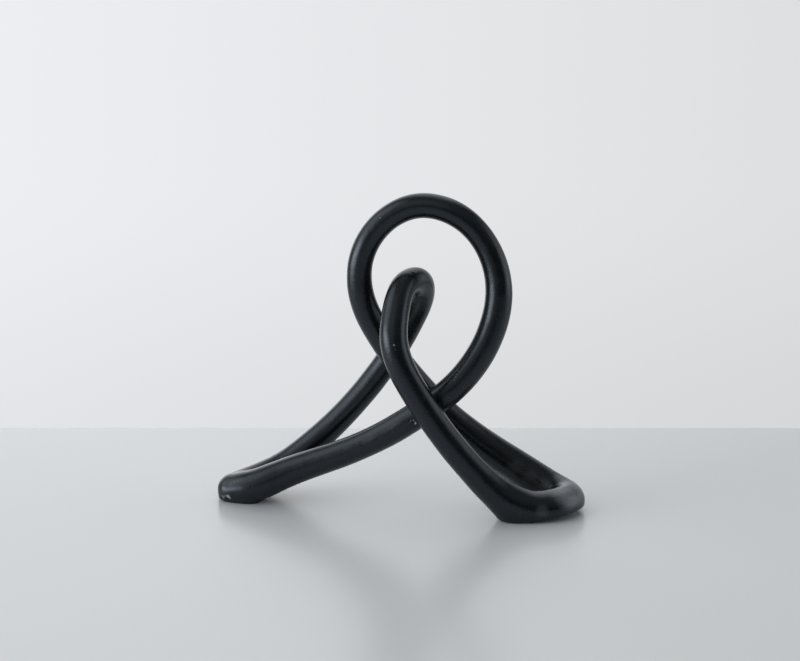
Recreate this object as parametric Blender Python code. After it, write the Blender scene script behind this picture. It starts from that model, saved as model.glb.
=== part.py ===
"""Knot sculpture: one round bar bent into a large loop, a small loop and two flat-cut feet.

The bar is cast in four sections that butt together in the neck on blind steel dowels,
and each foot stands on a thin felt pad. Metres, +Z up, +X toward the right foot.
"""

import math

import bmesh
import bpy
import numpy as np
from mathutils import Matrix, Vector

MM = 0.001

# Main sizes, in millimetres, all of the bar's centre line. Heights are above the flat bases.
LEFT_TOE_X = -112.3
RIGHT_TOE_END_X = 111.9
LOOP_LEFT_X = -25.6
LOOP_RIGHT_X = 64.8
LOOP_SIDE_Z = 141.5
LOOP_TOP_Z = 201.2
CROWN_SIDE_Z = 115.4
CROWN_TOP_Z = 151.3

# Bar diameters. The bar swells from the large loop down to the feet.
LOOP_BAR = 16.6
CROWN_BAR = 17.4
REAR_LEG_BAR = 17.4
NECK_BAR = 18.6
LEFT_FOOT_BAR = 22.4
RIGHT_FOOT_BAR = 23.8

# Free space between two strands where they cross in the neck. The two rear strands cross
# on the slant, so their centre lines may lie a little closer in Y, and the foot of the
# large loop keeps a little more away from the rear leg.
CROSSING_GAP = 0.9
REAR_SLANT = 2.5
LOOP_FOOT_SPARE = 2.5

# The level bend in which the right foot turns back on itself: its middle, and the radius
# of the hollow that it leaves inside the bar
RIGHT_TOE_Y = 1.6
RIGHT_TOE_HOLLOW = 3.4
RIGHT_TOE_RADIUS = RIGHT_FOOT_BAR / 2 + RIGHT_TOE_HOLLOW

# Feet: what the flat base takes off the round bar, and the pad under it
LEFT_FOOT_CUT = 6.2
RIGHT_FOOT_CUT = 6.3
PAD_THICKNESS = 1.2
PAD_INSET = 1.5
GLUE_LINE = 0.3

# Beyond a line across the right foot, its base lifts off the table: where the line crosses
# the front strand, back from the end of the toe and aside from its middle, how far it is
# turned from straight across, and the slope of the lift
TOE_LIFT_BACK = 19.4
TOE_LIFT_ASIDE = 31.5
TOE_LIFT_X = RIGHT_TOE_END_X - TOE_LIFT_BACK
TOE_LIFT_Y = RIGHT_TOE_Y - TOE_LIFT_ASIDE
TOE_LIFT_TURN = math.radians(-17.4)
TOE_LIFT_SLOPE = math.radians(9.8)

# Joints between the sections
JOINT_GAP = 0.3
DOWEL_DIAMETER = 8.0
DOWEL_LENGTH = 30.0
DOWEL_CHAMFER = 0.8
BORE_SIDE_CLEARANCE = 0.15
BORE_END_CLEARANCE = 1.0

# How finely the round bar is divided
BAR_SIDES = 20
RING_STEP = 5.5
RING_TURN = math.radians(13)
TIP_RINGS = 4
SOLE_RINGS = 5
SQUARE_LENGTH = 1.0

# The cutter of the flat bases reaches well past the feet on every side
CUTTER_REACH = 2 * (RIGHT_TOE_END_X - LEFT_TOE_X)
CUTTER_DEPTH = 2 * RIGHT_FOOT_BAR

# Depths of the four strands where they cross, front to back. The left front leg is
# the datum, and each of its neighbours lies one bar and one gap away from it.
LAYER = NECK_BAR + CROSSING_GAP
LEFT_FRONT_Y = -12.5
RIGHT_FRONT_Y = LEFT_FRONT_Y - LAYER
RIGHT_REAR_Y = LEFT_FRONT_Y + LAYER
LEFT_REAR_Y = RIGHT_REAR_Y + (NECK_BAR + REAR_LEG_BAR) / 2 - REAR_SLANT
LOOP_FOOT_Y = LEFT_REAR_Y - (LOOP_BAR + REAR_LEG_BAR) / 2 - CROSSING_GAP - LOOP_FOOT_SPARE

LEFT_FOOT_Z = LEFT_FOOT_BAR / 2 - LEFT_FOOT_CUT
RIGHT_FOOT_Z = RIGHT_FOOT_BAR / 2 - RIGHT_FOOT_CUT
BASE_HEIGHT = PAD_THICKNESS + GLUE_LINE


def between(first, second, share=0.5):
    return first + (second - first) * share


def right_toe_bend():
    """Stations on the level arc in which the right foot turns back on itself."""
    stations = []
    turns = (("rear_heel", 70, 2.1), ("toe_rear", 30, 0), ("toe", -11, 0), ("toe_front", -52, 0))
    for name, degrees, lift in turns:
        angle = math.radians(degrees)
        x = RIGHT_TOE_END_X - RIGHT_TOE_RADIUS * (1 - math.cos(angle))
        y = RIGHT_TOE_Y + RIGHT_TOE_RADIUS * math.sin(angle)
        stations.append(("right_" + name, x, y, RIGHT_FOOT_Z + lift, RIGHT_FOOT_BAR))
    return stations


def on_loop(name, across, up, y, diameter):
    """A station on the large loop: how far it lies from the left side to the right one, and
    from the level of the sides to the top."""
    x = between(LOOP_LEFT_X, LOOP_RIGHT_X, across)
    return name, x, y, between(LOOP_SIDE_Z, LOOP_TOP_Z, up), diameter


def on_crown(name, x, up, y, diameter):
    """A station on the small loop, from the level of its sides to its top."""
    return name, x, y, between(CROWN_SIDE_Z, CROWN_TOP_Z, up), diameter


# The bar's centre line as stations, in the order that a hand follows it from the front of
# the left toe to its back: name, x, y, height above the flat bases, and the bar's diameter.
STATIONS = [
    ("toe_front", LEFT_TOE_X, -7.0, LEFT_FOOT_Z, LEFT_FOOT_BAR),
    ("left_front_heel", LEFT_TOE_X + 12.8, -9.5, between(LEFT_FOOT_Z, 12), LEFT_FOOT_BAR),
    ("left_front_shin", LEFT_TOE_X + 34.3, -9.0, 18.0, between(NECK_BAR, LEFT_FOOT_BAR)),
    ("left_front_calf", -34.0, -10.5, 36.5, NECK_BAR),
    ("left_front_knee", -5.0, -12.0, 52.0, NECK_BAR),
    ("left_front_joint", 15.5, LEFT_FRONT_Y, 66.0, NECK_BAR),
    ("neck_right", 38.0, -10.8, 84.5, NECK_BAR),
    ("loop_right_low", LOOP_RIGHT_X - 3.3, -2.5, 123.0, NECK_BAR),
    on_loop("loop_right", 1.0, 0.134, 1.2, between(LOOP_BAR, NECK_BAR, 0.6)),
    on_loop("loop_right_high", 0.903, 0.586, 3.8, LOOP_BAR),
    on_loop("loop_top_right", 0.698, 0.901, 4.0, LOOP_BAR),
    on_loop("loop_top", 0.416, 1.0, 3.0, LOOP_BAR),
    on_loop("loop_top_left", 0.169, 0.824, 1.5, LOOP_BAR),
    on_loop("loop_left", 0.0, 0.394, -0.8, LOOP_BAR),
    on_loop("loop_left_low", 0.001, 0.0, -1.0, between(LOOP_BAR, NECK_BAR, 0.25)),
    ("loop_foot", -10.5, LOOP_FOOT_Y, 109.0, between(LOOP_BAR, NECK_BAR, 0.75)),
    ("right_rear_joint", 18.5, RIGHT_REAR_Y, 71.2, NECK_BAR),
    ("right_rear_calf", 50.0, 14.5, 41.0, between(NECK_BAR, RIGHT_FOOT_BAR, 0.45)),
    ("right_rear_shin", RIGHT_TOE_END_X - 24.9, RIGHT_TOE_Y + RIGHT_TOE_RADIUS + 1.0, 16.2,
     between(NECK_BAR, RIGHT_FOOT_BAR, 0.8)),
    *right_toe_bend(),
    ("right_front_heel", RIGHT_TOE_END_X - 21.0, RIGHT_TOE_Y - RIGHT_TOE_RADIUS - 4.8,
     RIGHT_FOOT_Z + 0.2, RIGHT_FOOT_BAR),
    ("right_front_ankle", RIGHT_TOE_END_X - 36.9, -22.0, 11.8, RIGHT_FOOT_BAR),
    ("right_front_shin", 57.5, -26.0, 27.3, between(NECK_BAR, RIGHT_FOOT_BAR, 0.3)),
    ("right_front_calf", 35.0, RIGHT_FRONT_Y + 1.6, 54.8, NECK_BAR),
    ("right_front_knee", 14.7, RIGHT_FRONT_Y, 85.0, NECK_BAR),
    on_crown("right_front_joint", 1.3, 0.0, RIGHT_FRONT_Y + 1.5, NECK_BAR),
    on_crown("crown_front", 1.0, 0.63, RIGHT_FRONT_Y + 11.0, between(CROWN_BAR, NECK_BAR)),
    on_crown("crown_top_front", 5.2, 1.0, -8.0, CROWN_BAR),
    on_crown("crown_top_rear", 11.4, 0.983, 5.0, CROWN_BAR),
    on_crown("crown_rear", 11.8, 0.646, LEFT_REAR_Y - 6.5, CROWN_BAR),
    on_crown("crown_foot", 5.0, 0.17, LEFT_REAR_Y - 1.2, CROWN_BAR),
    ("left_rear_joint", -6.0, LEFT_REAR_Y, 101.0, REAR_LEG_BAR),
    ("left_rear_knee", -31.5, LEFT_REAR_Y - 2.5, 65.0, REAR_LEG_BAR),
    ("left_rear_calf", LEFT_TOE_X + 48.3, 16.2, 31.4, between(REAR_LEG_BAR, LEFT_FOOT_BAR, 0.2)),
    ("left_rear_shin", LEFT_TOE_X + 27.8, 10.5, 15.9, between(REAR_LEG_BAR, LEFT_FOOT_BAR, 0.5)),
    ("toe_rear", LEFT_TOE_X + 1.8, -1.5, LEFT_FOOT_Z, between(REAR_LEG_BAR, LEFT_FOOT_BAR, 0.85)),
]


# Soles: the bar's own line laid down a little under the base, so that the flanks of a foot
# drop to a crisp edge instead of turning under. Each runs between two places on the bar, given
# as a station and a share of the way to the next one, and is so much narrower than the bar there.
SOLE_SINK = 0.1
SOLES = {
    "left_front_sole": (("toe_front", 0.0, 0.5), ("toe_front", 0.85, 1.0)),
    "left_rear_sole": (("left_rear_shin", 0.75, 0.0), ("left_rear_shin", 1.0, 0.3)),
    "right_front_sole": (("right_toe_front", 0.6, 1.1), ("right_front_heel", 0.8, 2.3)),
    "right_rear_sole": (("right_rear_shin", 0.85, 2.3), ("right_rear_heel", 0.6, 1.1)),
}


class Path:
    """A smooth curve through the stations: position, heading and radius."""

    def __init__(self, stations):
        self.names = [station[0] for station in stations]
        self.knots = np.array([station[1:] for station in stations], dtype=float)
        self.knots[:, 2] += BASE_HEIGHT
        self.knots[:, 3] /= 2
        self.spans = np.linalg.norm(np.diff(self.knots, axis=0), axis=1)
        self.slopes = self.spline_slopes()

    def spline_slopes(self):
        """Slopes at the knots for which neighbouring cubic pieces bend alike where they meet."""
        rates = np.diff(self.knots, axis=0) / self.spans[:, None]
        count = len(self.knots)
        system = np.zeros((count, count))
        sides = np.zeros_like(self.knots)
        system[0, :2] = 2, 1
        sides[0] = 3 * rates[0]
        system[-1, -2:] = 1, 2
        sides[-1] = 3 * rates[-1]
        for i in range(1, count - 1):
            before, after = self.spans[i - 1], self.spans[i]
            system[i, i - 1:i + 2] = 1 / before, 2 / before + 2 / after, 1 / after
            sides[i] = 3 * (rates[i - 1] / before + rates[i] / after)
        return np.linalg.solve(system, sides)

    def at(self, place):
        """x, y, z and radius at a place counted in stations, such as 2.5."""
        i = min(int(place), len(self.spans) - 1)
        j = i + 1
        u = place - i
        span = self.spans[i]
        return ((2 * u**3 - 3 * u**2 + 1) * self.knots[i]
                + (u**3 - 2 * u**2 + u) * span * self.slopes[i]
                + (3 * u**2 - 2 * u**3) * self.knots[j]
                + (u**3 - u**2) * span * self.slopes[j])

    def heading(self, name):
        slope = self.slopes[self.names.index(name)][:3]
        return Vector(slope).normalized()

    def point(self, name):
        return Vector(self.knots[self.names.index(name)][:3])

    def rings(self, first, last):
        """Places for the bar's rings from one station to another, closer in the bends."""
        start = self.names.index(first)
        end = self.names.index(last)
        places = np.linspace(start, end, (end - start) * 40 + 1)
        points = np.array([self.at(place) for place in places])
        steps = np.diff(points[:, :3], axis=0)
        lengths = np.linalg.norm(steps, axis=1)
        ways = steps / lengths[:, None]
        turns = np.zeros(len(lengths))
        turns[1:] = np.arccos(np.clip((ways[1:] * ways[:-1]).sum(1), -1, 1))
        travel = np.concatenate([[0], np.cumsum(np.maximum(lengths / RING_STEP, turns / RING_TURN))])
        marks = np.linspace(0, travel[-1], round(travel[-1]) + 1)
        return [self.at(place) for place in np.interp(marks, travel, places)]


def round_tip(centre, way, radius):
    """Rings that close a bar's end with a half ball."""
    rings = []
    for k in range(1, TIP_RINGS + 1):
        angle = math.radians(86) * k / TIP_RINGS
        place = centre + way * (radius * math.sin(angle))
        rings.append((*place, radius * math.cos(angle)))
    return rings


def bar_mesh(name, rings):
    """A round bar swept through the rings, as a closed mesh."""
    curve = bpy.data.curves.new(name, 'CURVE')
    curve.dimensions = '3D'
    curve.bevel_depth = 1.0
    curve.bevel_resolution = (BAR_SIDES - 4) // 2
    curve.use_fill_caps = True
    curve.twist_mode = 'MINIMUM'
    spline = curve.splines.new('POLY')
    spline.points.add(len(rings) - 1)
    for point, (x, y, z, radius) in zip(spline.points, rings):
        point.co = (x * MM, y * MM, z * MM, 1)
        point.radius = radius * MM
    holder = bpy.data.objects.new(name, curve)
    bpy.context.scene.collection.objects.link(holder)
    bpy.context.view_layer.update()
    evaluated = holder.evaluated_get(bpy.context.evaluated_depsgraph_get())
    mesh = bpy.data.meshes.new_from_object(evaluated)
    bpy.data.objects.remove(holder)
    shell = bmesh.new()
    shell.from_mesh(mesh)
    bmesh.ops.remove_doubles(shell, verts=shell.verts, dist=0.00002)
    bmesh.ops.recalc_face_normals(shell, faces=shell.faces)
    shell.to_mesh(mesh)
    shell.free()
    mesh.name = name
    return mesh


def square_end(path, joint, inward):
    """Two rings close together, so that a section's end is square to the bar at its joint."""
    radius = path.knots[path.names.index(joint)][3]
    depths = (JOINT_GAP / 2, JOINT_GAP / 2 + SQUARE_LENGTH)
    return [(*(path.point(joint) + path.heading(joint) * inward * depth), radius) for depth in depths]


def section_rings(path, first, last):
    """Rings of a section that runs from one joint to the next."""
    rings = path.rings(first, last)
    return square_end(path, first, 1) + rings[1:-1] + square_end(path, last, -1)[::-1]


def toe_strand(path, joint, toe):
    """Rings of one strand of the left leg, from its joint to its rounded toe."""
    if toe == path.names[0]:
        rings = square_end(path, joint, -1) + path.rings(toe, joint)[-2::-1]
        way = -path.heading(toe)
    else:
        rings = square_end(path, joint, 1) + path.rings(joint, toe)[1:]
        way = path.heading(toe)
    return rings + round_tip(path.point(toe), way, rings[-1][3])


def sole_strand(path, sole, inset=0.0):
    """Rings of one sole, rounded at both ends."""
    places, radii = [], []
    for station, share, narrower in SOLES[sole]:
        place = path.names.index(station) + share
        places.append(place)
        radii.append(path.at(place)[3] - narrower - inset)
    rings = []
    for place, radius in zip(np.linspace(*places, SOLE_RINGS), np.linspace(*radii, SOLE_RINGS)):
        rings.append((*path.at(place)[:2], BASE_HEIGHT - SOLE_SINK, radius))
    first, last = Vector(rings[0][:3]), Vector(rings[-1][:3])
    heel_way = (first - Vector(rings[1][:3])).normalized()
    toe_way = (last - Vector(rings[-2][:3])).normalized()
    return round_tip(first, heel_way, radii[0])[::-1] + rings + round_tip(last, toe_way, radii[1])


def add_object(name, mesh, collection, root, material=None):
    piece = bpy.data.objects.new(name, mesh)
    collection.objects.link(piece)
    piece.parent = root
    if material:
        mesh.materials.append(material)
    return piece


def add_cutter(name, mesh, cutters, root):
    cutter = add_object(name, mesh, cutters, root)
    cutter.hide_render = True
    cutter.display_type = 'WIRE'
    return cutter


def boolean(piece, other, operation):
    modifier = piece.modifiers.new(other.name, 'BOOLEAN')
    modifier.operation = operation
    modifier.solver = 'EXACT'
    modifier.object = other


def slab_mesh(name, low, high):
    """A flat box between two heights, wider than the whole sculpture."""
    shell = bmesh.new()
    bmesh.ops.create_cube(shell, size=1.0)
    bmesh.ops.scale(shell, vec=(CUTTER_REACH * MM, CUTTER_REACH * MM, (high - low) * MM), verts=shell.verts)
    bmesh.ops.translate(shell, vec=(0, 0, (low + high) / 2 * MM), verts=shell.verts)
    mesh = bpy.data.meshes.new(name)
    shell.to_mesh(mesh)
    shell.free()
    return mesh


def cylinder_mesh(name, diameter, length, chamfer=0.0, sides=24):
    shell = bmesh.new()
    bmesh.ops.create_cone(shell, cap_ends=True, segments=sides, radius1=diameter / 2 * MM,
                          radius2=diameter / 2 * MM, depth=length * MM)
    if chamfer:
        rims = [edge for edge in shell.edges if abs(edge.verts[0].co.z - edge.verts[1].co.z) < 1e-6]
        bmesh.ops.bevel(shell, geom=rims, offset=chamfer * MM, segments=1, affect='EDGES')
    mesh = bpy.data.meshes.new(name)
    shell.to_mesh(mesh)
    shell.free()
    return mesh


def shade_round(piece):
    for polygon in piece.data.polygons:
        polygon.use_smooth = True


def paint(name, colour, roughness, metallic):
    material = bpy.data.materials.new(name)
    material.use_nodes = True
    shader = material.node_tree.nodes["Principled BSDF"]
    shader.inputs["Base Color"].default_value = (*colour, 1)
    shader.inputs["Roughness"].default_value = roughness
    shader.inputs["Metallic"].default_value = metallic
    return material


def joint_frame(path, joint):
    """Placement whose Z axis runs along the bar at a joint."""
    turn = path.heading(joint).to_track_quat('Z', 'X').to_matrix().to_4x4()
    return Matrix.Translation(path.point(joint) * MM) @ turn


def build_sections(path, parts, cutters, root, black):
    """The four cast sections before they are bored and cut flat."""
    large_loop = add_object("large_loop", bar_mesh(
        "large_loop", section_rings(path, "left_front_joint", "right_rear_joint")), parts, root, black)
    small_loop = add_object("small_loop", bar_mesh(
        "small_loop", section_rings(path, "right_front_joint", "left_rear_joint")), parts, root, black)
    right_leg = add_object("right_leg", bar_mesh(
        "right_leg", section_rings(path, "right_rear_joint", "right_front_joint")), parts, root, black)
    left_leg = add_object("left_leg", bar_mesh(
        "left_leg", toe_strand(path, "left_front_joint", "toe_front")), parts, root, black)
    rear_strand = add_cutter("left_leg_rear_strand", bar_mesh(
        "left_leg_rear_strand", toe_strand(path, "left_rear_joint", "toe_rear")), cutters, root)
    boolean(left_leg, rear_strand, 'UNION')
    for sole in SOLES:
        strand = add_cutter(sole, bar_mesh(sole, sole_strand(path, sole)), cutters, root)
        boolean(left_leg if sole.startswith("left") else right_leg, strand, 'UNION')
    return {"large_loop": large_loop, "small_loop": small_loop, "left_leg": left_leg, "right_leg": right_leg}


def build_joints(path, sections, parts, cutters, root, steel):
    """A dowel at each joint, in a blind bore that enters both sections."""
    joints = {
        "left_front_joint": ("left_leg", "large_loop"),
        "right_rear_joint": ("large_loop", "right_leg"),
        "right_front_joint": ("right_leg", "small_loop"),
        "left_rear_joint": ("small_loop", "left_leg"),
    }
    for joint, pair in joints.items():
        place = joint_frame(path, joint)
        dowel_name = joint.replace("joint", "dowel")
        dowel = add_object(dowel_name, cylinder_mesh(
            dowel_name, DOWEL_DIAMETER, DOWEL_LENGTH, DOWEL_CHAMFER), parts, root, steel)
        dowel.matrix_basis = place
        bore = add_cutter(joint.replace("joint", "bore"), cylinder_mesh(
            joint.replace("joint", "bore"), DOWEL_DIAMETER + 2 * BORE_SIDE_CLEARANCE,
            DOWEL_LENGTH + 2 * BORE_END_CLEARANCE), cutters, root)
        bore.matrix_basis = place
        for section in pair:
            boolean(sections[section], bore, 'DIFFERENCE')


def lift_line(height):
    """Placement on the line beyond which the toe lifts, with X pointing outward."""
    place = Matrix.Translation(Vector((TOE_LIFT_X, TOE_LIFT_Y, height)) * MM)
    return place @ Matrix.Rotation(TOE_LIFT_TURN, 4, 'Z')


def build_pad(path, name, soles, sheet, parts, cutters, root, felt):
    """A felt pad, a little smaller all round than the soles that it lies under."""
    pad = add_object(name, bar_mesh(name, sole_strand(path, soles[0], PAD_INSET)), parts, root, felt)
    for sole in soles[1:]:
        strand_name = sole.replace("sole", "pad_strand")
        strand_mesh = bar_mesh(strand_name, sole_strand(path, sole, PAD_INSET))
        boolean(pad, add_cutter(strand_name, strand_mesh, cutters, root), 'UNION')
    boolean(pad, sheet, 'INTERSECT')


def build_feet(path, sections, parts, cutters, root, felt):
    """The flat bases, the lifted end of the right toe, and the pads."""
    base = add_cutter("base_cut", slab_mesh("base_cut", -CUTTER_DEPTH, BASE_HEIGHT), cutters, root)
    lift = add_cutter("toe_lift_cut", slab_mesh("toe_lift_cut", -CUTTER_DEPTH, 0.0), cutters, root)
    lift.matrix_basis = lift_line(BASE_HEIGHT) @ Matrix.Rotation(-TOE_LIFT_SLOPE, 4, 'Y')
    boolean(sections["left_leg"], base, 'DIFFERENCE')
    boolean(sections["right_leg"], base, 'DIFFERENCE')
    boolean(sections["right_leg"], lift, 'DIFFERENCE')

    sheet = add_cutter("felt_sheet", slab_mesh("felt_sheet", 0.0, PAD_THICKNESS), cutters, root)
    right_sheet = add_cutter(
        "right_felt_sheet", slab_mesh("right_felt_sheet", 0.0, PAD_THICKNESS), cutters, root)
    short_of_line = Vector((-CUTTER_REACH / 2 - PAD_INSET, 0, 0)) * MM
    right_sheet.matrix_basis = lift_line(0) @ Matrix.Translation(short_of_line)
    build_pad(path, "left_foot_pad", ("left_front_sole", "left_rear_sole"), sheet, parts, cutters, root, felt)
    build_pad(path, "right_foot_pad", ("right_front_sole",), right_sheet, parts, cutters, root, felt)
    build_pad(path, "right_rear_pad", ("right_rear_sole",), right_sheet, parts, cutters, root, felt)


def centre_on_base(root, parts):
    """Moves the whole sculpture so that the middle of its bounding box stands over the origin."""
    bpy.context.view_layer.update()
    graph = bpy.context.evaluated_depsgraph_get()
    corners = []
    for piece in parts.objects:
        evaluated = piece.evaluated_get(graph)
        corners += [evaluated.matrix_world @ vertex.co for vertex in evaluated.data.vertices]
    for axis in (0, 1):
        values = [corner[axis] for corner in corners]
        root.location[axis] -= (min(values) + max(values)) / 2
    bpy.context.view_layer.update()


def main():
    for old in list(bpy.data.objects):
        bpy.data.objects.remove(old)
    parts = bpy.data.collections.new("knot_sculpture")
    cutters = bpy.data.collections.new("cutters")
    bpy.context.scene.collection.children.link(parts)
    bpy.context.scene.collection.children.link(cutters)
    root = bpy.data.objects.new("sculpture_root", None)
    bpy.context.scene.collection.objects.link(root)

    black = paint("satin_black_paint", (0.012, 0.014, 0.016), 0.42, 0.0)
    steel = paint("zinc_plated_steel", (0.55, 0.56, 0.57), 0.32, 1.0)
    felt = paint("black_felt", (0.02, 0.02, 0.021), 0.95, 0.0)

    path = Path(STATIONS)
    sections = build_sections(path, parts, cutters, root, black)
    build_joints(path, sections, parts, cutters, root, steel)
    build_feet(path, sections, parts, cutters, root, felt)
    for piece in sections.values():
        shade_round(piece)
    centre_on_base(root, parts)


main()
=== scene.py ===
import math
import bpy
import numpy as np
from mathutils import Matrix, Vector


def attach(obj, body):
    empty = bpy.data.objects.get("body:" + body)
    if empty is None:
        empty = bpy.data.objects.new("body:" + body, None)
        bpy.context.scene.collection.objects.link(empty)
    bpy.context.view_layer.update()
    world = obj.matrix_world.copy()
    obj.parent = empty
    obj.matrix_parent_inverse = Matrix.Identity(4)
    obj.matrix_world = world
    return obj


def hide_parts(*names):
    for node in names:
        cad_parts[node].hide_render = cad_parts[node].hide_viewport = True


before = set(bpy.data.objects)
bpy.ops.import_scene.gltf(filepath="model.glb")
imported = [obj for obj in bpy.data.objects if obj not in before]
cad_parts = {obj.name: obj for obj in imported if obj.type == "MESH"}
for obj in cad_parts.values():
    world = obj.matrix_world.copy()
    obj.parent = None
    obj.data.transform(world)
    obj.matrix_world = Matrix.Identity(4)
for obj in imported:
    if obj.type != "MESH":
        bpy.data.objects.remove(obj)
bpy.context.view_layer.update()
mm = 0.001


# The bar's centre line as a hand follows it from the left toe: x, y, height and diameter in mm.
barLine = {
    "sides": 64,
    "steps": 36,  # rings between two stations
    "leadIn": 4.0,  # straight stretch past a joint, trimmed off again
    "stations": {
        "toeFront": (-112.43, -1.80, 6.50, 22.40),
        "leftFrontHeel": (-99.63, -4.30, 10.00, 22.40),
        "leftFrontShin": (-78.13, -3.80, 19.50, 20.50),
        "leftFrontCalf": (-34.13, -5.30, 38.00, 18.60),
        "leftFrontKnee": (-5.13, -6.80, 53.50, 18.60),
        "leftFrontJoint": (15.37, -7.30, 67.50, 18.60),
        "neckRight": (37.87, -5.60, 86.00, 18.60),
        "loopRightLow": (61.37, 2.70, 124.50, 18.60),
        "loopRight": (64.67, 6.40, 151.00, 17.80),
        "loopRightHigh": (55.90, 9.00, 177.98, 16.60),
        "loopTopRight": (37.37, 9.20, 196.79, 16.60),
        "loopTop": (11.88, 8.20, 202.70, 16.60),
        "loopTopLeft": (-10.45, 6.70, 192.19, 16.60),
        "loopLeft": (-25.73, 4.40, 166.52, 16.60),
        "loopLeftLow": (-25.64, 4.20, 143.00, 17.10),
        "loopFoot": (-10.63, 7.30, 110.50, 18.10),
        "rightRearJoint": (18.37, 12.20, 72.70, 18.60),
        "rightRearCalf": (49.87, 19.70, 42.50, 20.94),
        "rightRearShin": (86.87, 23.10, 17.70, 22.76),
        "rightRearHeel": (101.71, 21.17, 9.20, 23.80),
        "rightToeRear": (109.72, 14.45, 7.10, 23.80),
        "rightToe": (111.49, 3.88, 7.10, 23.80),
        "rightToeFront": (105.89, -5.26, 7.10, 23.80),
        "rightFrontHeel": (90.77, -13.30, 7.30, 23.80),
        "rightFrontAnkle": (74.87, -16.80, 13.30, 23.80),
        "rightFrontShin": (57.37, -20.80, 28.80, 20.16),
        "rightFrontCalf": (34.87, -25.20, 56.30, 18.60),
        "rightFrontKnee": (14.57, -26.80, 86.50, 18.60),
        "rightFrontJoint": (1.17, -25.30, 116.90, 18.60),
        "crownFront": (0.87, -15.80, 139.52, 18.00),
        "crownTopFront": (5.07, -2.80, 152.80, 17.40),
        "crownTopRear": (11.27, 10.20, 152.19, 17.40),
        "crownRear": (11.67, 21.20, 140.09, 17.40),
        "crownFoot": (4.87, 26.50, 123.00, 17.40),
        "leftRearJoint": (-6.13, 27.70, 102.50, 17.40),
        "leftRearKnee": (-31.63, 25.20, 66.50, 17.40),
        "leftRearCalf": (-64.13, 21.40, 32.90, 18.40),
        "leftRearShin": (-84.63, 15.70, 17.40, 19.90),
        "toeRear": (-110.63, 3.70, 6.50, 21.65),
    },
}

joints = {
    "trimRadius": 12.5,
    "trimLength": 8.0,
    "boreRadius": 4.15,
    "boreDepth": 16.0,
    "boreSides": 48,
}

feet = {
    "baseHeight": 1.5,  # top of the felt and its glue
    "voxel": 0.55,
    "creaseReach": 2.6,  # how far the fillet where two strands meet spreads
    "creaseFade": 1.4,  # its smoothing has faded out at this many times the reach
    "creaseRounds": 90,
    "softenRounds": 6,
    "smoothing": 0.5,  # strength of each smoothing round
    # round bars inside the feet, whose flanks drop steeply to a crisp edge: x, y, height and radius in mm
    "soles": {
        "leftFront": (
            (-112.43, -1.80, 1.50, 10.70), (-106.95, -3.06, 1.50, 10.46), (-101.52, -4.06, 1.50, 10.23),
        ),
        "leftRear": (
            (-104.01, 7.00, 1.50, 10.61), (-107.32, 5.35, 1.50, 10.57), (-110.63, 3.70, 1.50, 10.52),
        ),
        "right": (
            (77.87, -16.23, 1.50, 9.69), (87.47, -14.22, 1.50, 10.23), (97.22, -10.91, 1.50, 10.77),
            (105.70, -5.10, 1.50, 11.00), (111.20, 3.88, 1.50, 11.10), (109.40, 14.30, 1.50, 11.00),
            (106.98, 17.76, 1.50, 10.82), (103.77, 20.11, 1.50, 10.19), (99.48, 22.02, 1.50, 9.56),
        ),
        "rightHeel": (
            (65.26, -19.00, 20.29, 10.50), (75.60, -16.64, 8.10, 10.50), (85.93, -14.27, -4.08, 10.50),
        ),
    },
    "liftPlace": (92.37, -24.70, 1.50),  # the right toe's base rises off the table from here
    "liftNormal": (-0.162, 0.051, 0.985),
}

handWork = {  # long low swells that filing leaves
    "scale": 22.0,
    "height": 0.30,
    "inward": 0.85,  # share of a swell that lies below the plain bar's surface
    "detail": 1,
    "edgeAngle": 35.0,  # an edge that turns by more than these degrees stays crisp
}


def only(piece):
    bpy.ops.object.select_all(action="DESELECT")
    piece.select_set(True)
    bpy.context.view_layer.objects.active = piece


def modify(piece, kind, **settings):
    only(piece)
    bpy.ops.object.modifier_add(type=kind)
    modifier = piece.modifiers[-1]
    for name, value in settings.items():
        setattr(modifier, name, value)
    bpy.ops.object.modifier_apply(modifier=modifier.name)


def weld(piece, distance=0.00001):
    only(piece)
    bpy.ops.object.mode_set(mode="EDIT")
    bpy.ops.mesh.select_all(action="SELECT")
    bpy.ops.mesh.remove_doubles(threshold=distance)
    bpy.ops.mesh.normals_make_consistent(inside=False)
    bpy.ops.object.mode_set(mode="OBJECT")


def join(pieces):
    only(pieces[0])
    for piece in pieces:
        piece.select_set(True)
    bpy.ops.object.join()
    return pieces[0]


stationNames = list(barLine["stations"])
knots = np.array(list(barLine["stations"].values())) * mm
knots[:, 3] /= 2
spans = np.linalg.norm(np.diff(knots, axis=0), axis=1)


def restingSlopes():  # the bar bends evenly through every station, with its ends free
    count = len(knots)
    rates = np.diff(knots, axis=0) / spans[:, None]
    system = np.zeros((count, count))
    sides = np.zeros_like(knots)
    system[0, :2] = 2, 1
    sides[0] = 3 * rates[0]
    system[-1, -2:] = 1, 2
    sides[-1] = 3 * rates[-1]
    for i in range(1, count - 1):
        before, after = spans[i - 1], spans[i]
        system[i, i - 1:i + 2] = 1 / before, 2 / before + 2 / after, 1 / after
        sides[i] = 3 * (rates[i - 1] / before + rates[i] / after)
    return np.linalg.solve(system, sides)


slopes = restingSlopes()


def station(name):
    return Vector(knots[stationNames.index(name)][:3])


def heading(name):
    return Vector(slopes[stationNames.index(name)][:3]).normalized()


def centreLine(first, last, steps=24):  # points and radii along the bar, for measuring
    start, end = stationNames.index(first), stationNames.index(last)
    rows = []
    for i in range(start, end):
        for u in np.linspace(0, 1, steps, endpoint=False):
            rows.append((2 * u**3 - 3 * u**2 + 1) * knots[i] + (u**3 - 2 * u**2 + u) * spans[i] * slopes[i]
                        + (3 * u**2 - 2 * u**3) * knots[i + 1] + (u**3 - u**2) * spans[i] * slopes[i + 1])
    rows.append(knots[end])
    return np.array(rows)


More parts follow.
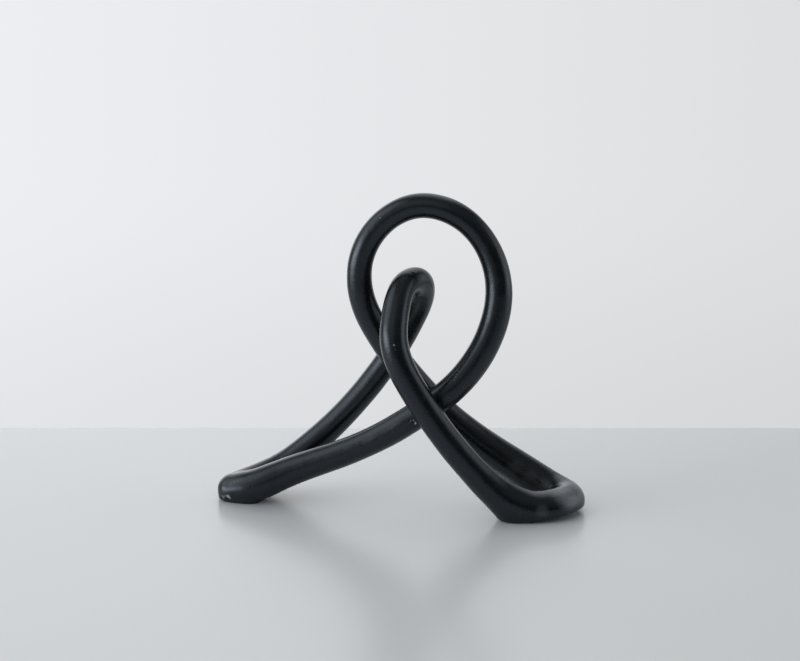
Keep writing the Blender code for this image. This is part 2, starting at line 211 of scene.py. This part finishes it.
def soleLine(name, steps=60):
    rows = np.array(feet["soles"][name]) * mm
    shares = np.linspace(0, 1, len(rows))
    return np.array([[np.interp(u, shares, column) for column in rows.T] for u in np.linspace(0, 1, steps)])


def layTube(name, places):  # places: point, handle before, handle after, radius
    bpy.ops.object.select_all(action="DESELECT")
    bpy.ops.curve.primitive_bezier_curve_add(location=(0, 0, 0))
    tube = bpy.context.object
    tube.name = name
    bpy.ops.object.mode_set(mode="EDIT")
    bpy.ops.curve.select_all(action="SELECT")
    bpy.ops.curve.subdivide(number_cuts=len(places) - 2)
    bpy.ops.object.mode_set(mode="OBJECT")
    spline = tube.data.splines[0]
    for knot, (point, before, after, radius) in zip(spline.bezier_points, places):
        knot.handle_left_type = knot.handle_right_type = "FREE"
        knot.co, knot.handle_left, knot.handle_right, knot.radius = point, before, after, radius
    spline.radius_interpolation = "CARDINAL"
    tube.data.dimensions = "3D"
    tube.data.twist_mode = "MINIMUM"
    tube.data.bevel_depth = 1.0
    tube.data.bevel_resolution = (barLine["sides"] - 4) // 2
    tube.data.use_fill_caps = True
    tube.data.resolution_u = barLine["steps"]
    only(tube)
    bpy.ops.object.convert(target="MESH")
    weld(tube)
    return tube


def layBar(name, first, last):
    start, end = stationNames.index(first), stationNames.index(last)
    places = []
    for i in range(start, end + 1):
        point, slope = Vector(knots[i][:3]), Vector(slopes[i][:3])
        before = spans[max(i - 1, 0)] / 3
        after = spans[min(i, len(spans) - 1)] / 3
        places.append([point, point - slope * before, point + slope * after, knots[i][3]])
    lead = barLine["leadIn"] * mm
    if first.endswith("Joint"):
        point, way = places[0][0], heading(first)
        places[0][1] = point - way * lead / 3
        places.insert(0, [point - way * lead, point - way * lead * 4 / 3, point - way * lead * 2 / 3,
                          places[0][3]])
    if last.endswith("Joint"):
        point, way = places[-1][0], heading(last)
        places[-1][2] = point + way * lead / 3
        places.append([point + way * lead, point + way * lead * 2 / 3, point + way * lead * 4 / 3,
                       places[-1][3]])
    return layTube(name, places)


def ball(name, place, radius):
    bpy.ops.object.select_all(action="DESELECT")
    bpy.ops.mesh.primitive_uv_sphere_add(segments=barLine["sides"], ring_count=barLine["sides"] // 2,
                                         radius=radius, location=place)
    bpy.context.object.name = name
    return bpy.context.object


def roundTip(name):
    return ball(name + "Tip", station(name), knots[stationNames.index(name)][3])


def laySole(name):
    rows = np.array(feet["soles"][name]) * mm
    points = [Vector(row[:3]) for row in rows]
    places = []
    for i, point in enumerate(points):
        before = points[max(i - 1, 0)]
        after = points[min(i + 1, len(points) - 1)]
        way = (after - before).normalized()
        places.append((point, point - way * (point - before).length / 3,
                       point + way * (after - point).length / 3, rows[i][3]))
    tube = layTube(name + "Sole", places)
    heelBall = ball(name + "HeelBall", points[0], rows[0][3])
    toeBall = ball(name + "ToeBall", points[-1], rows[-1][3])
    return [tube, heelBall, toeBall]


def meltCreases(piece, lines, shareCount=40):  # smooths only where the piece lies close to two strands
    points = np.empty(len(piece.data.vertices) * 3)
    piece.data.vertices.foreach_get("co", points)
    points = points.reshape(-1, 3)
    gaps = np.empty((len(lines), len(points)))
    for row, line in zip(gaps, lines):
        for share in np.array_split(np.arange(len(points)), shareCount):  # in shares, to save memory
            away = np.linalg.norm(points[share, None] - line[None, :, :3], axis=2)
            row[share] = np.abs((away - line[:, 3]).min(1))
    second = np.sort(gaps, axis=0)[1]
    weights = np.clip(feet["creaseFade"] - second / (feet["creaseReach"] * mm), 0, 1)
    crease = piece.vertex_groups.new(name="crease")
    for index in np.flatnonzero(weights):
        crease.add([int(index)], float(weights[index]), "REPLACE")
    modify(piece, "SMOOTH", factor=feet["smoothing"], iterations=feet["creaseRounds"], vertex_group="crease")
    piece.vertex_groups.clear()


def cutBelow(piece, place, normal):
    only(piece)
    bpy.ops.object.mode_set(mode="EDIT")
    bpy.ops.mesh.select_all(action="SELECT")
    bpy.ops.mesh.bisect(plane_co=place, plane_no=normal, use_fill=True, clear_inner=True)
    bpy.ops.object.mode_set(mode="OBJECT")


def trimAtJoint(piece, joint, outward):  # squares the section's end at the joint and bores it for the dowel
    way = heading(joint) * outward
    length = joints["trimLength"] * mm
    turn = way.to_track_quat("Z", "X").to_euler()
    bpy.ops.object.select_all(action="DESELECT")
    bpy.ops.mesh.primitive_cylinder_add(vertices=joints["boreSides"], radius=joints["trimRadius"] * mm,
                                        depth=length, location=station(joint) + way * length / 2,
                                        rotation=turn)
    cutter = bpy.context.object
    bpy.ops.object.transform_apply(location=True, rotation=True, scale=True)
    bpy.ops.object.mode_set(mode="EDIT")
    bpy.ops.mesh.select_all(action="DESELECT")
    bpy.ops.object.mode_set(mode="OBJECT")
    for face in cutter.data.polygons:
        face.select = face.normal.dot(way) < -0.99  # the cutter's end that meets the section
    bpy.ops.object.mode_set(mode="EDIT")
    bpy.ops.mesh.select_mode(type="FACE")
    bpy.ops.mesh.inset(thickness=(joints["trimRadius"] - joints["boreRadius"]) * mm)
    bpy.ops.mesh.extrude_region_move(TRANSFORM_OT_translate={"value": way * -joints["boreDepth"] * mm})
    bpy.ops.object.mode_set(mode="OBJECT")
    modify(piece, "BOOLEAN", operation="DIFFERENCE", solver="EXACT", object=cutter)
    bpy.data.objects.remove(cutter)


swells = bpy.data.textures.new("handWorkSwells", "CLOUDS")
swells.noise_scale = handWork["scale"] * mm
swells.noise_depth = handWork["detail"]


def workByHand(piece):
    modify(piece, "DISPLACE", texture=swells, texture_coords="LOCAL", strength=handWork["height"] * mm,
           mid_level=handWork["inward"])


# Damage as seen: place, the way the surface faces there, width and depth in mm.
dents = {
    "small_loop_casting": {
        "pinholeStart": ((9.1, -3.5, 161.05), (0.42, -0.38, 0.82), 0.8, 0.6),
        "pinholeEnd": ((10.4, -3.5, 160.35), (0.42, -0.38, 0.82), 1.4, 1.0),
        "jointSpeck": ((2.1, -34.1, 119.6), (0.15, -0.96, 0.26), 0.9, 0.35),
    },
    "large_loop_casting": {
        "nickUpper": ((33.4, -15.4, 82.6), (0.05, -0.99, 0.10), 0.8, 0.30),
        "nickLower": ((35.4, -15.2, 80.6), (0.24, -0.96, -0.12), 0.8, 0.30),
        "scarTop": ((40.5, -11.2, 97.6), (-0.42, -0.76, 0.50), 0.9, 0.25),
        "scarLow": ((38.7, -13.1, 92.6), (-0.21, -0.90, 0.37), 0.9, 0.25),
    },
    "left_leg_casting": {
        "fillerPitLeft": ((10.1, -16.5, 64.7), (0.0, -1.0, 0.0), 1.7, 0.8),
        "fillerPitMiddle": ((11.6, -16.5, 63.8), (0.05, -0.99, -0.08), 1.2, 0.7),
        "fillerPitRight": ((13.2, -16.3, 63.0), (0.14, -0.97, -0.17), 1.5, 0.7),
        "chipRight": ((-114.0, -12.5, 3.9), (-0.21, -0.97, -0.12), 3.4, 0.5),
        "chipLeft": ((-118.2, -10.7, 3.3), (-0.55, -0.83, -0.11), 2.4, 0.45),
    },
    "right_leg_casting": {
        "hollowUpper": ((90.8, 11.9, 18.7), (0.09, -0.97, 0.22), 1.3, 0.30),
        "hollowMiddle": ((92.8, 12.1, 17.5), (0.09, -0.97, 0.22), 1.7, 0.35),
        "hollowLower": ((94.4, 12.3, 16.3), (0.09, -0.97, 0.22), 1.2, 0.30),
    },
}
dentEdges = {
    "grain": 0.7,
    "raggedness": 0.35,  # as a share of the dent's depth
    "fineness": 4,  # subdivisions of the ball that cuts it
}
chipRaggedness = bpy.data.textures.new("chipRaggedness", "CLOUDS")
chipRaggedness.noise_scale = dentEdges["grain"] * mm


def dentPiece(piece, rows):
    cutters = []
    for place, facing, width, depth in rows.values():
        turn = Vector(facing).to_track_quat("Z", "X").to_euler()
        bpy.ops.object.select_all(action="DESELECT")
        bpy.ops.mesh.primitive_ico_sphere_add(subdivisions=dentEdges["fineness"], radius=0.5 * mm,
                                              location=Vector(place) * mm, rotation=turn)
        cutter = bpy.context.object
        cutter.scale = (width, width, 2 * depth)  # from a ball 1 mm across
        bpy.ops.object.transform_apply(location=True, rotation=True, scale=True)
        modify(cutter, "DISPLACE", texture=chipRaggedness, texture_coords="LOCAL",
               strength=dentEdges["raggedness"] * depth * mm, mid_level=0.5)
        cutters.append(cutter)
    cutter = join(cutters)
    modify(piece, "BOOLEAN", operation="DIFFERENCE", solver="EXACT", object=cutter)
    bpy.data.objects.remove(cutter)


def finishPiece(piece, name, node):
    dentPiece(piece, dents[name])
    piece.name = piece.data.name = name
    only(piece)
    bpy.ops.object.shade_smooth_by_angle(angle=math.radians(handWork["edgeAngle"]))
    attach(piece, "root")
    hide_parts(node)
    print(name, len(piece.data.polygons), "faces")


largeLoop = layBar("largeLoop", "leftFrontJoint", "rightRearJoint")
workByHand(largeLoop)
trimAtJoint(largeLoop, "leftFrontJoint", -1)
trimAtJoint(largeLoop, "rightRearJoint", 1)
finishPiece(largeLoop, "large_loop_casting", "large_loop")

smallLoop = layBar("smallLoop", "rightFrontJoint", "leftRearJoint")
workByHand(smallLoop)
trimAtJoint(smallLoop, "rightFrontJoint", -1)
trimAtJoint(smallLoop, "leftRearJoint", 1)
finishPiece(smallLoop, "small_loop_casting", "small_loop")

basePlace = Vector((0, 0, feet["baseHeight"] * mm))
liftPlace = Vector(feet["liftPlace"]) * mm


def mouldLeg(strands, tips, soles):  # strands: name, first station, last station
    pieces = [layBar(*strand) for strand in strands] + [roundTip(tip) for tip in tips]
    for sole in soles:
        pieces += laySole(sole)
    lines = [centreLine(first, last) for name, first, last in strands] + [soleLine(sole) for sole in soles]
    leg = join(pieces)
    modify(leg, "REMESH", mode="VOXEL", voxel_size=feet["voxel"] * mm)
    meltCreases(leg, lines)
    modify(leg, "SMOOTH", factor=feet["smoothing"], iterations=feet["softenRounds"])
    workByHand(leg)
    cutBelow(leg, basePlace, (0, 0, 1))
    return leg


rightLeg = mouldLeg([("rightLeg", "rightRearJoint", "rightFrontJoint")], (), ("right", "rightHeel"))
cutBelow(rightLeg, liftPlace, feet["liftNormal"])
trimAtJoint(rightLeg, "rightRearJoint", -1)
trimAtJoint(rightLeg, "rightFrontJoint", 1)
finishPiece(rightLeg, "right_leg_casting", "right_leg")

leftLeg = mouldLeg([("leftLeg", "toeFront", "leftFrontJoint"), ("leftLegRear", "leftRearJoint", "toeRear")],
                   ("toeFront", "toeRear"), ("leftFront", "leftRear"))
trimAtJoint(leftLeg, "leftFrontJoint", 1)
trimAtJoint(leftLeg, "leftRearJoint", -1)
finishPiece(leftLeg, "left_leg_casting", "left_leg")
print("bar sections done")


class Wire:  # a socket that can be used in sums

    def __init__(self, desk, socket):
        self.desk = desk
        self.socket = socket

    def sum(self, operation, *others, clamp=False):
        settings = {"operation": operation, "use_clamp": clamp}
        return self.desk.node("ShaderNodeMath", settings, (self, *others))

    def __add__(self, other):
        return self.sum("ADD", other)

    def __sub__(self, other):
        return self.sum("SUBTRACT", other)

    def __mul__(self, other):
        return self.sum("MULTIPLY", other)

    def __truediv__(self, other):
        return self.sum("DIVIDE", other)

    def __rsub__(self, other):
        return self.desk.node("ShaderNodeMath", {"operation": "SUBTRACT"}, (other, self))

    __radd__ = __add__
    __rmul__ = __mul__

    def clip(self):
        return self.sum("ADD", 0.0, clamp=True)

    def fade(self, low, high):  # 0 at low, 1 at high, softly
        settings = {"interpolation_type": "SMOOTHSTEP"}
        inputs = {"Value": self, "From Min": low, "From Max": high}
        return self.desk.node("ShaderNodeMapRange", settings, inputs)


class Desk:  # makes the nodes of one material, or of the world

    def __init__(self, tree):
        self.tree = tree
        self.tree.nodes.clear()

    def node(self, kind, settings=None, inputs=(), out=0):
        node = self.tree.nodes.new(kind)
        for name, value in (settings or {}).items():
            setattr(node, name, value)
        pairs = inputs.items() if isinstance(inputs, dict) else enumerate(inputs)
        for key, value in pairs:
            if isinstance(value, Wire):
                self.tree.links.new(value.socket, node.inputs[key])
            else:
                node.inputs[key].default_value = value
        return Wire(self, node.outputs[out]) if node.outputs else None

    def blend(self, share, first, second):
        return self.node("ShaderNodeMix", {"data_type": "RGBA"}, {0: share, 6: first, 7: second}, out=2)

    def noise(self, place, scale, detail, rough):
        inputs = {"Vector": place, "Scale": scale, "Detail": detail, "Roughness": rough}
        return self.node("ShaderNodeTexNoise", {"noise_dimensions": "3D"}, inputs)

    def vector(self, operation, *inputs, out=0):
        return self.node("ShaderNodeVectorMath", {"operation": operation}, inputs, out)

    def away(self, place, *point):  # how far a place is from a point, both in mm
        return self.vector("DISTANCE", place, Vector(point) * mm, out=1) * 1000

    def along(self, way, towards):  # 1 where the two directions agree
        return self.vector("DOT_PRODUCT", way, towards, out=1)

    def brighten(self, colour, strength):
        return self.node("ShaderNodeVectorMath", {"operation": "SCALE"}, {0: colour, "Scale": strength})

    def bump(self, height, distance, strength=1.0, normal=None):  # distance in mm
        inputs = {"Strength": strength, "Distance": distance * mm, "Height": height}
        if normal:
            inputs["Normal"] = normal
        return self.node("ShaderNodeBump", None, inputs)


def newMaterial(name):
    material = bpy.data.materials.new(name)
    material.use_nodes = True
    return material, Desk(material.node_tree)


def plug(desk, shader):
    desk.node("ShaderNodeOutputMaterial", None, {"Surface": shader})


blackPaint = {
    "colour": (0.0030, 0.0038, 0.0044, 1),
    "lighter": (0.0050, 0.0060, 0.0068, 1),
    "lighterFrom": 0.35,  # of the broad noise
    "lighterGain": 1.6,
    "dust": (0.060, 0.066, 0.070, 1),
    "dustShare": 0.35,
    "dustSpecks": (0.60, 0.74),  # of the fine noise
    "dustClouds": (0.45, 0.70),  # of the wipe noise
    "roughness": 0.28,
    "wipeRoughness": 0.14,
    "strokeRoughness": 0.10,
    "dustRoughness": 0.2,
    "gloss": 0.62,
    "glossTint": (0.76, 0.88, 1.0, 1),
    "holeShadeGloss": 0.05,
    "filler": (0.56, 0.58, 0.57, 1),
    # pale grey of the painted sheen and highlights
    "paintedSheenColour": (0.250, 0.265, 0.280, 1),
    # noises: scale to the metre, detail and roughness
    "broad": (46.0, 3.0, 0.5),
    "swell": (115.0, 2.0, 0.5),
    "strokes": (1100.0, 2.0, 0.5),
    "strokeStretch": (0.12, 0.12, 1.0),  # faint strokes that run level
    "fine": (900.0, 3.0, 0.6),
    "grain": (2600.0, 1.0, 0.5),
    "wipe": (160.0, 4.0, 0.6),
    # bumps: height in mm
    "swellHeight": 0.18,
    "textureHeight": 0.04,
    "textureStrength": 0.4,
    # edges of the marks: outer and inner edge as shares of the radius, raggedness
    "bareEdge": (1.15, 0.85, 1.6),
    "holeShadeEdge": (1.2, 0.7, 1.2),
    "sheenCore": 0.1,  # share of its reach over which a patch of painted sheen is whole
    # where the pale filler shows: x, y, height and radius in mm, share of filler
    "bare": (
        (10.0, -16.2, 64.4, 0.70, 0.35), (12.2, -16.5, 64.7, 0.45, 0.45), (13.4, -16.0, 62.9, 0.75, 1.0),
        (2.1, -34.0, 119.6, 0.62, 0.55), (3.3, -34.6, 116.9, 0.30, 0.16), (4.7, -33.6, 119.0, 0.28, 0.12),
        (-114.2, -12.3, 4.7, 1.25, 0.75), (-112.6, -12.3, 3.9, 0.70, 0.4), (-118.1, -10.5, 3.8, 0.95, 0.5),
        (-116.5, -11.8, 4.7, 0.60, 0.35), (40.6, -11.1, 97.9, 0.45, 0.30), (40.0, -11.8, 96.2, 0.40, 0.22),
        (39.3, -12.6, 94.3, 0.45, 0.25), (38.6, -13.2, 92.4, 0.50, 0.30), (33.4, -15.4, 82.6, 0.40, 0.35),
        (35.4, -15.2, 80.6, 0.40, 0.35), (-12.3, -0.5, 195.6, 0.50, 0.30), (-25.4, -1.2, 181.4, 0.50, 0.25),
        (-0.9, 2.0, 205.3, 0.35, 0.2), (92.8, 12.1, 17.9, 0.60, 0.06),
    ),
    # painted sheen and highlights where light falls on the toes, the right foot's front and hollow and the
    # crown's rear limb, and a faint light patch by the front crossing: x, y, height and reach in mm, share
    "paintedSheen": (
        (112.5, -9.0, 15.0, 12.0, 0.80), (118.5, -1.0, 14.5, 10.0, 0.55), (106.0, -12.0, 17.0, 7.0, 0.25),
        (112.0, 9.0, 19.0, 8.0, 0.25), (98.3, -23.0, 8.9, 6.0, 0.20), (-113.0, -2.0, 17.0, 13.0, 0.15),
        (-112.4, -11.3, 13.4, 1.8, 0.15), (-109.8, -11.4, 14.6, 2.0, 0.17), (-107.2, -11.5, 15.8, 2.0, 0.15),
        (-104.8, -11.6, 16.8, 1.8, 0.12), (25.8, -12.3, 84.8, 9.0, 0.07), (12.0, 12.5, 138.0, 14.0, 0.20),
        (94.0, 11.5, 15.5, 8.0, 0.20), (86.0, 11.5, 21.0, 8.0, 0.18), (77.0, 11.0, 27.0, 8.0, 0.12),
    ),
    # painted shade: dull dark spots in the holes and the shadows round them: x, y, height and radius in mm,
    # share
    "holeShade": (
        (9.1, -3.5, 161.0, 0.60, 0.8), (10.0, -3.5, 160.6, 0.75, 0.95), (10.9, -3.5, 160.1, 0.60, 0.9),
        (9.0, -16.5, 64.6, 0.65, 0.8), (11.9, -16.4, 63.6, 0.60, 0.9), (14.4, -16.1, 62.9, 0.50, 0.8),
        (-114.0, -12.4, 3.0, 0.80, 0.8), (-118.9, -10.2, 2.9, 0.80, 0.6), (90.8, 11.9, 18.7, 0.70, 0.8),
        (92.8, 12.1, 17.2, 0.80, 0.8), (94.4, 12.3, 16.3, 0.65, 0.7),
    ),
}


def satinBlack():
    material, desk = newMaterial("satinBlackPaint")
    place = desk.node("ShaderNodeTexCoord", out=3)
    broad = desk.noise(place, *blackPaint["broad"])
    swell = desk.noise(place, *blackPaint["swell"])
    strokes = desk.noise(desk.vector("MULTIPLY", place, blackPaint["strokeStretch"]), *blackPaint["strokes"])
    fine = desk.noise(place, *blackPaint["fine"])
    grain = desk.noise(place, *blackPaint["grain"])
    wipe = desk.noise(place, *blackPaint["wipe"])

    def spot(x, y, z, radius, outer, inner, raggedness):  # 1 inside a mark, 0 outside, with a ragged edge
        away = desk.away(place, x, y, z) + (grain - 0.5) * radius * raggedness
        return away.fade(radius * outer, radius * inner)

    lighter = (broad - blackPaint["lighterFrom"]) * blackPaint["lighterGain"]
    colour = desk.blend(lighter, blackPaint["colour"], blackPaint["lighter"])
    dustMask = (fine.fade(*blackPaint["dustSpecks"]) * wipe.fade(*blackPaint["dustClouds"])).clip()
    colour = desk.blend(dustMask * blackPaint["dustShare"], colour, blackPaint["dust"])
    patches = broad * 0.5 + wipe * 0.9 + 0.3  # the painted sheen comes through unevenly
    # painted highlights: the paint is lightened towards a pale grey where light falls on it
    for x, y, z, reach, share in blackPaint["paintedSheen"]:
        sheenMask = (desk.away(place, x, y, z).fade(reach, reach * blackPaint["sheenCore"]) * patches).clip()
        colour = desk.blend(sheenMask * share, colour, blackPaint["paintedSheenColour"])
    for *mark, share in blackPaint["bare"]:
        colour = desk.blend(spot(*mark, *blackPaint["bareEdge"]) * share, colour, blackPaint["filler"])
    roughness = (blackPaint["roughness"] + (wipe - 0.5) * blackPaint["wipeRoughness"]
                 + (strokes - 0.5) * blackPaint["strokeRoughness"] + dustMask * blackPaint["dustRoughness"])
    normal = desk.bump(swell, blackPaint["swellHeight"])
    texture = grain * 0.2 + fine * 0.5 + strokes * 0.3
    normal = desk.bump(texture, blackPaint["textureHeight"], blackPaint["textureStrength"], normal)
    shader = desk.node("ShaderNodeBsdfPrincipled", None, {
        "Base Color": colour, "Roughness": roughness, "Metallic": 0.0, "Normal": normal,
        "Specular IOR Level": blackPaint["gloss"], "Specular Tint": blackPaint["glossTint"]})
    # painted shade in the pinhole, pits, chips and dimples: a dull dark shader mixed in over the paint
    depth = 0.0
    for *mark, share in blackPaint["holeShade"]:
        depth = spot(*mark, *blackPaint["holeShadeEdge"]) * share + depth
    holeShadeShader = desk.node("ShaderNodeBsdfPrincipled", None, {
        "Base Color": blackPaint["colour"], "Roughness": 1.0, "Specular IOR Level": blackPaint["holeShadeGloss"]})
    shader = desk.node("ShaderNodeMixShader", None, {0: depth.clip(), 1: shader, 2: holeShadeShader})
    plug(desk, shader)
    return material


padFelt = {
    "colour": (0.010, 0.010, 0.011, 1),
    "paler": (0.040, 0.040, 0.042, 1),
    "palerSpan": (0.35, 0.75),  # of the fibres' noise
    "roughness": 0.9,
    "tuftRoughness": 0.15,
    "sheen": 0.4,
    "fibres": (2200.0, 4.0, 0.7),  # noises: scale to the metre, detail and roughness
    "tufts": (420.0, 3.0, 0.6),
    "pileHeight": 0.3,  # in mm
    "pileStrength": 0.9,
}


def blackFelt():
    material, desk = newMaterial("blackFelt")
    place = desk.node("ShaderNodeTexCoord", out=3)
    fibres = desk.noise(place, *padFelt["fibres"])
    tufts = desk.noise(place, *padFelt["tufts"])
    colour = desk.blend(fibres.fade(*padFelt["palerSpan"]), padFelt["colour"], padFelt["paler"])
    roughness = padFelt["roughness"] + (tufts - 0.5) * padFelt["tuftRoughness"]
    normal = desk.bump(fibres * 0.6 + tufts * 0.4, padFelt["pileHeight"], padFelt["pileStrength"])
    shader = desk.node("ShaderNodeBsdfPrincipled", None, {
        "Base Color": colour, "Roughness": roughness, "Sheen Weight": padFelt["sheen"], "Normal": normal})
    plug(desk, shader)
    return material


dowelSteel = {
    "colour": (0.50, 0.52, 0.53, 1),
    "paler": (0.66, 0.66, 0.62, 1),
    "palerSpan": (0.35, 0.7),  # of the spangle's noise
    "roughness": 0.3,
    "spangleRoughness": 0.2,
    "spangle": (300.0, 3.0, 0.5),  # noises: scale to the metre, detail and roughness
    "scratch": (3000.0, 2.0, 0.5),
    "scratchHeight": 0.02,  # in mm
    "scratchStrength": 0.3,
}


def platedSteel():
    material, desk = newMaterial("zincPlatedSteel")
    place = desk.node("ShaderNodeTexCoord", out=3)
    spangle = desk.noise(place, *dowelSteel["spangle"])
    scratch = desk.noise(place, *dowelSteel["scratch"])
    colour = desk.blend(spangle.fade(*dowelSteel["palerSpan"]), dowelSteel["colour"], dowelSteel["paler"])
    roughness = dowelSteel["roughness"] + (spangle - 0.5) * dowelSteel["spangleRoughness"]
    normal = desk.bump(scratch, dowelSteel["scratchHeight"], dowelSteel["scratchStrength"])
    shader = desk.node("ShaderNodeBsdfPrincipled", None, {
        "Base Color": colour, "Roughness": roughness, "Metallic": 1.0, "Normal": normal})
    plug(desk, shader)
    return material


def dress(piece, material):
    piece.data.materials.clear()
    piece.data.materials.append(material)


paint = satinBlack()
for section in (largeLoop, smallLoop, leftLeg, rightLeg):
    dress(section, paint)
felt = blackFelt()
steel = platedSteel()
for name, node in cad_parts.items():
    if name.endswith("_pad"):
        node.material_slots[0].material = felt
    if name.endswith("_dowel"):
        node.material_slots[0].material = steel
print("finishes done")


studio = {
    "azimuth": 9.0,
    "elevation": 14.0,
    "aim": (-0.00013, 0.0052, 0.1195),  # in metres, as is the distance
    "distance": 1.4618,
    "lens": 100.0,
    "sensor": 36.0,
    # the table's left, right, front and rear edge as the camera sees them, in metres from the aim
    "table": (-4.0, 4.0, -7.8, 0.1775),
    "tableColour": (0.775, 0.800, 0.820, 1),
    "tableRoughness": 0.26,
    # the backdrop's colour carries painted light: lighter on the left, where more light falls on the wall
    "wallLeft": (0.850, 0.858, 0.885, 1),
    "wallRight": (0.728, 0.740, 0.756, 1),
    "wallSpread": 0.36,  # width over which the wall's painted light changes from left to right, as the sine of an angle
    "wallFoot": 0.90,  # share of the wall's light left behind the table's edge
    "wallFootSpan": (-0.31, -0.17),  # sines of the angles between which it comes back
    "lightColour": (0.985, 1.0, 1.015),
    # soft light in the air: azimuth, elevation and half width in degrees, strength
    "air": {
        "wallBehind": (-170, -5, 75, 0.75),
        "wallLeft": (-150, 12, 35, 0.8),
        "ceilingBehind": (180, 57, 35, 1.0),
        "windowSide": (-90, 34, 110, 0.15),
        "windowLow": (-60, -10, 35, 5.6),
        "windowHigh": (-75, 34, 35, 1.35),
        "frontFill": (-15, 34, 35, 0.35),
        "rightSide": (105, 12, 35, 1.0),
        "rightLow": (90, -10, 35, 0.6),
        "rightHigh": (45, 57, 50, 0.2),
    },
}
azimuth = math.radians(studio["azimuth"])
aim = Vector(studio["aim"])
back = Vector((-math.sin(azimuth), math.cos(azimuth), 0))
rightward = Vector((math.cos(azimuth), math.sin(azimuth), 0))


def direction(around, up):  # azimuth and elevation in degrees; 0, 0 looks out of the front
    around, up = math.radians(around), math.radians(up)
    return Vector((math.sin(around) * math.cos(up), -math.cos(around) * math.cos(up), math.sin(up)))


def stageTable():
    left, right, front, rear = studio["table"]
    middle = aim + rightward * (left + right) / 2 + back * (front + rear) / 2
    bpy.ops.object.select_all(action="DESELECT")
    bpy.ops.mesh.primitive_plane_add(size=1, location=(middle.x, middle.y, 0), rotation=(0, 0, azimuth))
    table = bpy.context.object
    table.scale = (right - left, rear - front, 1)
    table.name = "table"
    material, desk = newMaterial("paleTable")
    shader = desk.node("ShaderNodeBsdfPrincipled", None, {
        "Base Color": studio["tableColour"], "Roughness": studio["tableRoughness"]})
    plug(desk, shader)
    dress(table, material)


def pourAir():
    world = bpy.data.worlds.new("studioAir")
    bpy.context.scene.world = world
    world.use_nodes = True
    desk = Desk(world.node_tree)
    way = desk.node("ShaderNodeTexCoord", out=0)
    light = 0.0
    for around, up, wide, strength in studio["air"].values():
        facing = desk.along(way, direction(around, up))
        light = facing.fade(math.cos(math.radians(wide)), 1.0) * strength + light
    air = desk.brighten(studio["lightColour"], light)
    # painted light on the backdrop: lighter to the left, and painted shade low behind the table's edge
    across = (desk.along(way, rightward) / studio["wallSpread"] + 0.5).clip()
    wall = desk.blend(across, studio["wallLeft"], studio["wallRight"])
    height = desk.along(way, (0, 0, 1))
    shade = height.fade(*studio["wallFootSpan"]) * (1 - studio["wallFoot"]) + studio["wallFoot"]
    wall = desk.brighten(wall, shade)
    seen = desk.node("ShaderNodeLightPath", out=0)  # the camera sees the wall, the object is lit by the air
    glow = desk.node("ShaderNodeBackground", None, {"Color": desk.blend(seen, air, wall), "Strength": 1.0})
    desk.node("ShaderNodeOutputWorld", None, {"Surface": glow})


def setCamera():
    away = direction(studio["azimuth"], studio["elevation"])
    turn = away.to_track_quat("Z", "Y").to_euler()
    bpy.ops.object.camera_add(location=aim + away * studio["distance"], rotation=turn)
    camera = bpy.context.object
    camera.name = "photoCamera"
    camera.data.lens = studio["lens"]
    camera.data.sensor_width = studio["sensor"]
    bpy.context.scene.camera = camera


stageTable()
pourAir()
setCamera()
bpy.context.scene.view_settings.view_transform = "Standard"
print("studio done")
